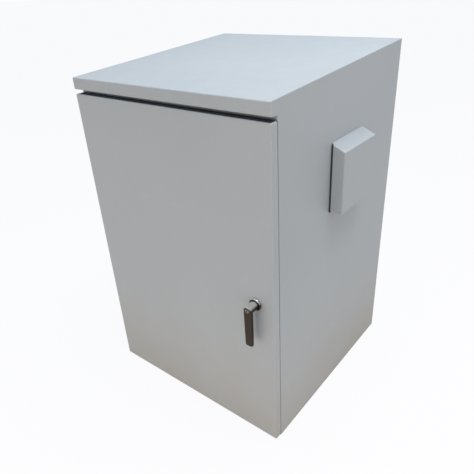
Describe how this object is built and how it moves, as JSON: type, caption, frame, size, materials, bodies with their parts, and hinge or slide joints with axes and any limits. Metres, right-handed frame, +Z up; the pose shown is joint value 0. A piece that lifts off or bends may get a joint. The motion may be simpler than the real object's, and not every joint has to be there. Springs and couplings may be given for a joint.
{
  "type": "roadside utility cabinet",
  "caption": "Free-standing folded-steel street cabinet with a sloping roof, a full-width hinged door with a lever latch, and a side ventilation hood.",
  "frame": {"origin": "centre of the four anchor holes, at the underside", "axes": "+Z up, the door faces -Y, the ventilation hood is on the +X side"},
  "size_m": [0.636, 0.6356, 0.934],
  "materials": {
    "powder_coat": "fine powder coat",
    "galvanised_sheet": "galvanised",
    "zinc_plated_steel": "zinc plated",
    "black_rubber": "matt foam rubber",
    "black_coated_metal": "satin black",
    "nickel_plate": "satin",
    "nylon": "moulded",
    "filter_fleece": "fleece",
    "brass": "plain"
  },
  "bodies": {
    "cabinet": {"body_shell": "powder_coat", "cable_entry_plate": "galvanised_sheet", "cable_entry_screws": "zinc_plated_steel", "cable_entry_seal": "black_rubber", "door_frame_bottom_rail": "powder_coat", "door_frame_top_rail": "powder_coat", "earth_nut": "brass", "earth_stud": "brass", "earth_washer": "brass", "filter_frame": "galvanised_sheet", "filter_mat": "filter_fleece", "filter_screws": "zinc_plated_steel", "floor_pan": "galvanised_sheet", "hinge_bracket_lower": "zinc_plated_steel", "hinge_bracket_middle": "zinc_plated_steel", "hinge_bracket_upper": "zinc_plated_steel", "hood_gasket": "black_rubber", "hood_screws": "zinc_plated_steel", "insect_mesh": "zinc_plated_steel", "mounting_plate": "galvanised_sheet", "mounting_plate_nuts": "zinc_plated_steel", "mounting_plate_studs": "zinc_plated_steel", "roof_sheet": "powder_coat", "vent_hood": "powder_coat"},
    "door": {"door_panel": "powder_coat", "door_gasket": "black_rubber", "door_rail_left": "galvanised_sheet", "door_rail_right": "galvanised_sheet", "hinge_leaf_lower": "zinc_plated_steel", "hinge_leaf_middle": "zinc_plated_steel", "hinge_leaf_upper": "zinc_plated_steel", "hinge_pin_lower": "zinc_plated_steel", "hinge_pin_middle": "zinc_plated_steel", "hinge_pin_upper": "zinc_plated_steel", "door_studs": "zinc_plated_steel", "hinge_nuts": "zinc_plated_steel", "guide_nuts": "zinc_plated_steel", "rod_guides": "nylon", "lock_housing": "black_coated_metal", "lock_washer": "black_rubber", "lock_nut": "zinc_plated_steel"},
    "handle": {"handle_lever": "black_coated_metal", "latch_cam": "zinc_plated_steel", "cam_screw": "zinc_plated_steel", "drive_pins": "zinc_plated_steel"},
    "key_plug": {"lock_plug": "nickel_plate"},
    "upper_rod": {"upper_rod": "zinc_plated_steel", "upper_roller_pin": "zinc_plated_steel"},
    "upper_roller": {"upper_roller": "nylon"},
    "lower_rod": {"lower_rod": "zinc_plated_steel", "lower_roller_pin": "zinc_plated_steel"},
    "lower_roller": {"lower_roller": "nylon"}
  },
  "joints": [
    {"name": "door_swing", "type": "hinge", "parent": "cabinet", "child": "door", "pos_m": [-0.294, -0.293, 0.431], "axis": [0, 0, -1], "range_deg": [0, 105]},
    {"name": "handle_turn", "type": "hinge", "parent": "door", "child": "handle", "pos_m": [0.248, -0.3, 0.431], "axis": [0, 1, 0], "range_deg": [0, 90]},
    {"name": "key_turn", "type": "hinge", "parent": "handle", "child": "key_plug", "pos_m": [0.248, -0.33, 0.431], "axis": [0, 1, 0], "range_deg": [0, 90]},
    {"name": "upper_rod_slide", "type": "slide", "parent": "door", "child": "upper_rod", "axis": [0, 0, 1], "range_m": [0, 0.016]},
    {"name": "lower_rod_slide", "type": "slide", "parent": "door", "child": "lower_rod", "axis": [0, 0, -1], "range_m": [0, 0.016]},
    {"name": "upper_roller_spin", "type": "hinge", "parent": "upper_rod", "child": "upper_roller", "pos_m": [0.23834, -0.2705, 0.821], "axis": [1, 0, 0], "continuous": true},
    {"name": "lower_roller_spin", "type": "hinge", "parent": "lower_rod", "child": "lower_roller", "pos_m": [0.25766, -0.2705, 0.039], "axis": [1, 0, 0], "continuous": true}
  ],
  "couplings": [
    {"joint": "upper_rod_slide", "follows": "handle_turn", "m_per_rad": 0.010186},
    {"joint": "lower_rod_slide", "follows": "handle_turn", "m_per_rad": 0.010186}
  ]
}
